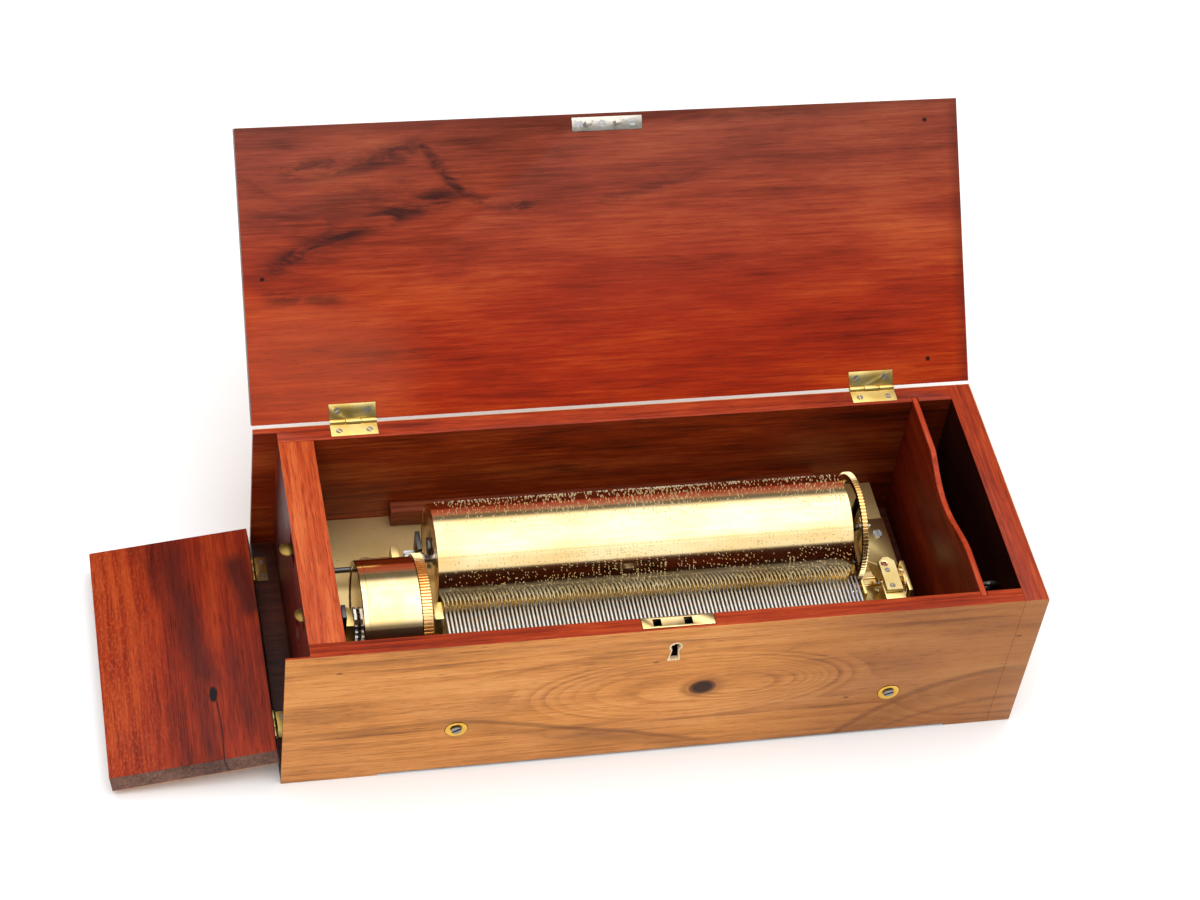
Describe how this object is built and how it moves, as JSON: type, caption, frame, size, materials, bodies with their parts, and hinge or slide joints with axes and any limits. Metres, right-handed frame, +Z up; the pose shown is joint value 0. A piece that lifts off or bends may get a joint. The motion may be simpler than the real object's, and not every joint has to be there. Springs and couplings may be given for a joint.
{
  "type": "cylinder music box",
  "caption": "Key-wound cylinder music box: spring barrel, cylinder, comb and fly governor on a bedplate, in a plain wooden case with hinged lid and end flap.",
  "frame": {"origin": "centre of the wooden case's footprint, on the table under its feet", "axes": "+X to the right along the case, +Y to the back, +Z up; the front is the long wall with the keyhole"},
  "size_m": [0.4635, 0.2631, 0.2068],
  "materials": {
    "walnut": "clear polish over pale walnut",
    "redwood": "polished red-brown wood",
    "partition_wood": "polished orange-red wood",
    "dark_wood": "unpolished dark wood",
    "polished_brass": "polished",
    "satin_brass": "satin",
    "comb_steel": "ground",
    "steel": "polished",
    "dark_steel": "blued and darkened",
    "key_iron": "dark, worn smooth",
    "bone": "satin, bone coloured"
  },
  "bodies": {
    "case": {"front_wall": "walnut", "back_wall": "redwood", "right_wall": "redwood", "base_board": "dark_wood", "left_partition": "partition_wood", "key_divider": "redwood", "rail_front": "dark_wood", "rail_back": "dark_wood", "rail_right": "dark_wood", "rear_batten": "redwood", "lock_case": "polished_brass", "keyhole_lining": "bone", "case_washer_left": "polished_brass", "case_washer_right": "polished_brass", "bedplate_screw_left": "steel", "bedplate_screw_right": "steel", "lid_hinge_left_case_leaf": "polished_brass", "lid_hinge_right_case_leaf": "polished_brass", "flap_hinge_front_case_leaf": "polished_brass", "flap_hinge_rear_case_leaf": "polished_brass", "bedplate": "satin_brass", "comb": "comb_steel", "comb_base": "polished_brass", "barrel_bracket_left": "polished_brass", "barrel_bracket_right": "polished_brass", "cylinder_bearing_left": "polished_brass", "cylinder_bearing_right": "polished_brass", "governor_frame": "polished_brass", "governor_cock": "polished_brass"},
    "lid": {"lid_panel": "redwood", "lid_catch_plate": "steel", "lid_hinge_left_lid_leaf": "polished_brass", "lid_hinge_right_lid_leaf": "polished_brass"},
    "flap": {"end_flap": "redwood", "flap_hinge_front_flap_leaf": "polished_brass", "flap_hinge_rear_flap_leaf": "polished_brass"},
    "cylinder_drive": {"cylinder_arbor": "steel", "cylinder_pinion": "steel", "cylinder_wheel": "polished_brass", "drive_pin": "steel"},
    "cylinder": {"cylinder_shell": "polished_brass", "cylinder_cap_left": "polished_brass", "cylinder_cap_right": "polished_brass"},
    "snail": {"tune_snail": "steel"},
    "barrel": {"barrel_drum": "polished_brass", "great_wheel": "polished_brass", "mainspring": "dark_steel"},
    "winding_arbor": {"barrel_arbor": "steel", "ratchet_wheel": "steel"},
    "ratchet_click": {"click": "steel"},
    "governor_first": {"governor_first_wheel": "polished_brass"},
    "governor_second": {"governor_second_wheel": "polished_brass"},
    "fly_arbor": {"endless_screw": "steel", "fly": "polished_brass"},
    "stop_control": {"stop_lever": "dark_steel", "stop_lever_tab": "satin_brass"},
    "change_control": {"change_lever": "dark_steel", "change_lever_tab": "satin_brass"},
    "bolt": {"lock_bolt": "steel"},
    "key": {"winding_key": "key_iron"}
  },
  "joints": [
    {"name": "lid_hinge", "type": "hinge", "parent": "case", "child": "lid", "pos_m": [0, 0.07565, 0.09765], "axis": [1, 0, 0], "range_deg": [0, 134]},
    {"name": "flap_hinge", "type": "hinge", "parent": "case", "child": "flap", "pos_m": [-0.1905, 0, 0.01425], "axis": [0, 1, 0], "range_deg": [0, 93]},
    {"name": "cylinder_turn", "type": "hinge", "parent": "case", "child": "cylinder_drive", "pos_m": [0, 0.00875, 0.0649], "axis": [1, 0, 0], "continuous": true},
    {"name": "cylinder_shift", "type": "slide", "parent": "cylinder_drive", "child": "cylinder", "axis": [1, 0, 0], "range_m": [0, 0.0018]},
    {"name": "snail_turn", "type": "hinge", "parent": "cylinder", "child": "snail", "pos_m": [-0.1084, 0.00875, 0.0733], "axis": [1, 0, 0], "continuous": true},
    {"name": "barrel_turn", "type": "hinge", "parent": "case", "child": "barrel", "pos_m": [-0.135, -0.02775, 0.0625], "axis": [1, 0, 0], "continuous": true},
    {"name": "winding_turn", "type": "hinge", "parent": "case", "child": "winding_arbor", "pos_m": [-0.135, -0.02775, 0.0625], "axis": [1, 0, 0], "continuous": true},
    {"name": "click_swing", "type": "hinge", "parent": "case", "child": "ratchet_click", "pos_m": [-0.15, -0.01325, 0.0535], "axis": [1, 0, 0], "range_deg": [0, 20], "stiffness_Nm_per_rad": 0.0002},
    {"name": "governor_first_turn", "type": "hinge", "parent": "case", "child": "governor_first", "pos_m": [0.127, -0.01491, 0.04505], "axis": [1, 0, 0], "continuous": true},
    {"name": "governor_second_turn", "type": "hinge", "parent": "case", "child": "governor_second", "pos_m": [0.127, -0.00705, 0.0416], "axis": [1, 0, 0], "continuous": true},
    {"name": "fly_turn", "type": "hinge", "parent": "case", "child": "fly_arbor", "pos_m": [0.1275, -0.01235, 0.05], "axis": [0, 0, 1], "continuous": true},
    {"name": "stop_lever_swing", "type": "hinge", "parent": "case", "child": "stop_control", "pos_m": [-0.158, -0.03875, 0.043], "axis": [1, 0, 0], "range_deg": [-4, 4]},
    {"name": "change_lever_swing", "type": "hinge", "parent": "case", "child": "change_control", "pos_m": [-0.137, 0.02325, 0.0435], "axis": [1, 0, 0], "range_deg": [-4, 4]},
    {"name": "bolt_slide", "type": "slide", "parent": "case", "child": "bolt", "axis": [-1, 0, 0], "range_m": [0, 0.0016]},
    {"name": "key_lift", "type": "slide", "parent": "case", "child": "key", "axis": [0, 0, 1], "range_m": [0, 0.12]}
  ],
  "couplings": [
    {"joint": "barrel_turn", "follows": "cylinder_turn", "ratio": -0.13333},
    {"joint": "governor_first_turn", "follows": "cylinder_turn", "ratio": -12},
    {"joint": "governor_second_turn", "follows": "cylinder_turn", "ratio": 72},
    {"joint": "fly_turn", "follows": "cylinder_turn", "ratio": 1728}
  ]
}
